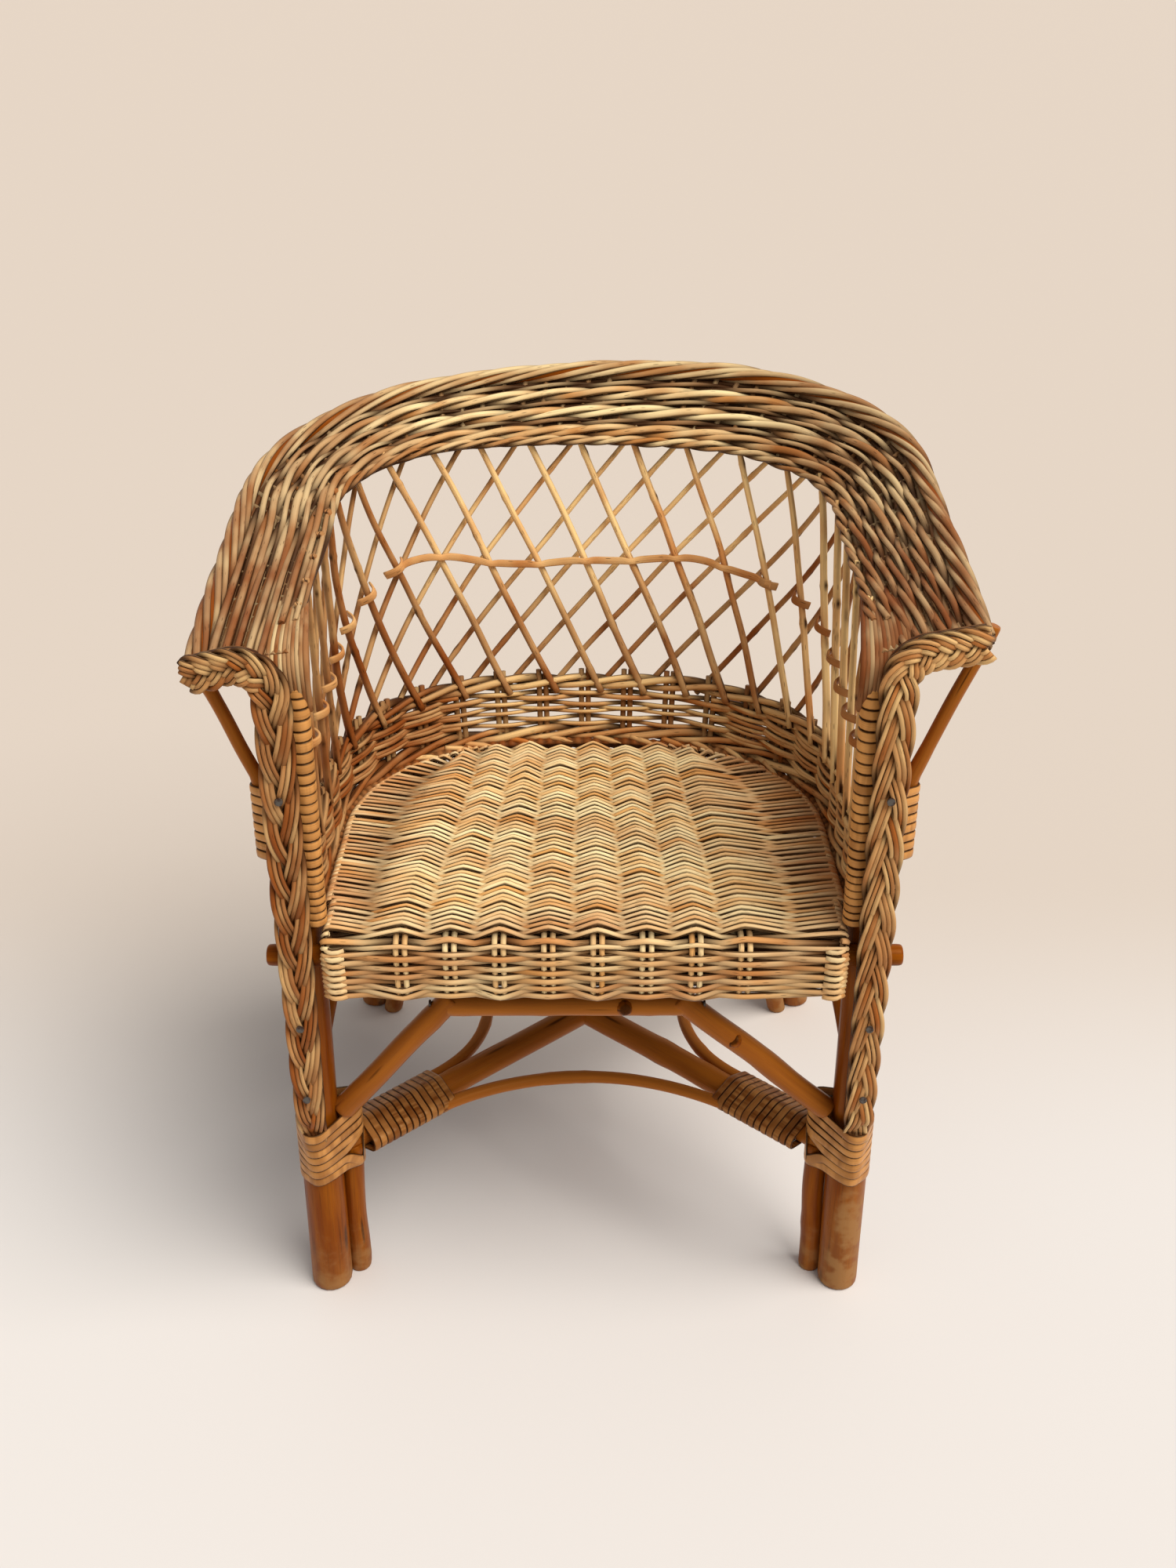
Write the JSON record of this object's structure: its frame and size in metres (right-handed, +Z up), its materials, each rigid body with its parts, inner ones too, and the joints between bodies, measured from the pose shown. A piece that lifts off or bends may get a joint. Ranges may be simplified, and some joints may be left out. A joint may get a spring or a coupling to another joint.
{
  "type": "child's woven armchair",
  "caption": "Small tub-shaped armchair of round poles and woven rods, with a woven seat, an open lattice back, broad woven arms, plaits and cane bindings.",
  "frame": {"origin": "on the floor under the middle of the whole outline", "axes": "+Z up, +Y towards the back, +X to the right seen from the front"},
  "size_m": [0.4368, 0.3508, 0.5525],
  "materials": {
    "pole_wood": "varnished, worn",
    "willow_shell": "satin",
    "willow_seat": "satin",
    "willow_rim": "satin, weathered",
    "cane_binding": "satin",
    "nail_steel": "dull"
  },
  "bodies": {
    "root": {"arch_rail": "pole_wood", "arm_strut_left": "pole_wood", "arm_strut_right": "pole_wood", "band_loop_left": "cane_binding", "band_loop_right": "cane_binding", "end_stake_left": "willow_shell", "end_stake_right": "willow_shell", "frame_nails": "nail_steel", "front_brace_left": "pole_wood", "front_brace_right": "pole_wood", "front_plait_left": "willow_rim", "front_plait_right": "willow_rim", "front_post_left": "pole_wood", "front_post_right": "pole_wood", "front_seat_rail": "pole_wood", "lattice_rods_inner": "willow_shell", "lattice_rods_outer": "willow_shell", "leg_binding_front_left": "cane_binding", "leg_binding_front_right": "cane_binding", "leg_binding_rear_left": "cane_binding", "leg_binding_rear_right": "cane_binding", "leg_prop_front_left": "pole_wood", "leg_prop_front_right": "pole_wood", "leg_prop_rear_left": "pole_wood", "leg_prop_rear_right": "pole_wood", "plait_nails": "nail_steel", "post_winding_left": "cane_binding", "post_winding_right": "cane_binding", "rear_leg_left": "pole_wood", "rear_leg_right": "pole_wood", "rear_seat_rail": "pole_wood", "rim_border": "willow_rim", "rim_hoop": "willow_rim", "seat_band": "willow_shell", "side_brace_left": "pole_wood", "side_brace_right": "pole_wood", "side_seat_rail_left": "pole_wood", "side_seat_rail_right": "pole_wood", "stretcher_arm_front_right": "pole_wood", "stretcher_arm_rear_left": "pole_wood", "stretcher_bow_front": "pole_wood", "stretcher_bow_left": "pole_wood", "stretcher_bow_rear": "pole_wood", "stretcher_bow_right": "pole_wood", "stretcher_diagonal": "pole_wood", "stretcher_winding_front_left": "cane_binding", "stretcher_winding_front_right": "cane_binding", "stretcher_winding_rear_left": "cane_binding", "stretcher_winding_rear_right": "cane_binding", "strut_winding_left": "cane_binding", "strut_winding_right": "cane_binding", "waist_strip": "cane_binding", "woven_rim": "willow_rim", "woven_seat": "willow_seat"}
  },
  "joints": []
}
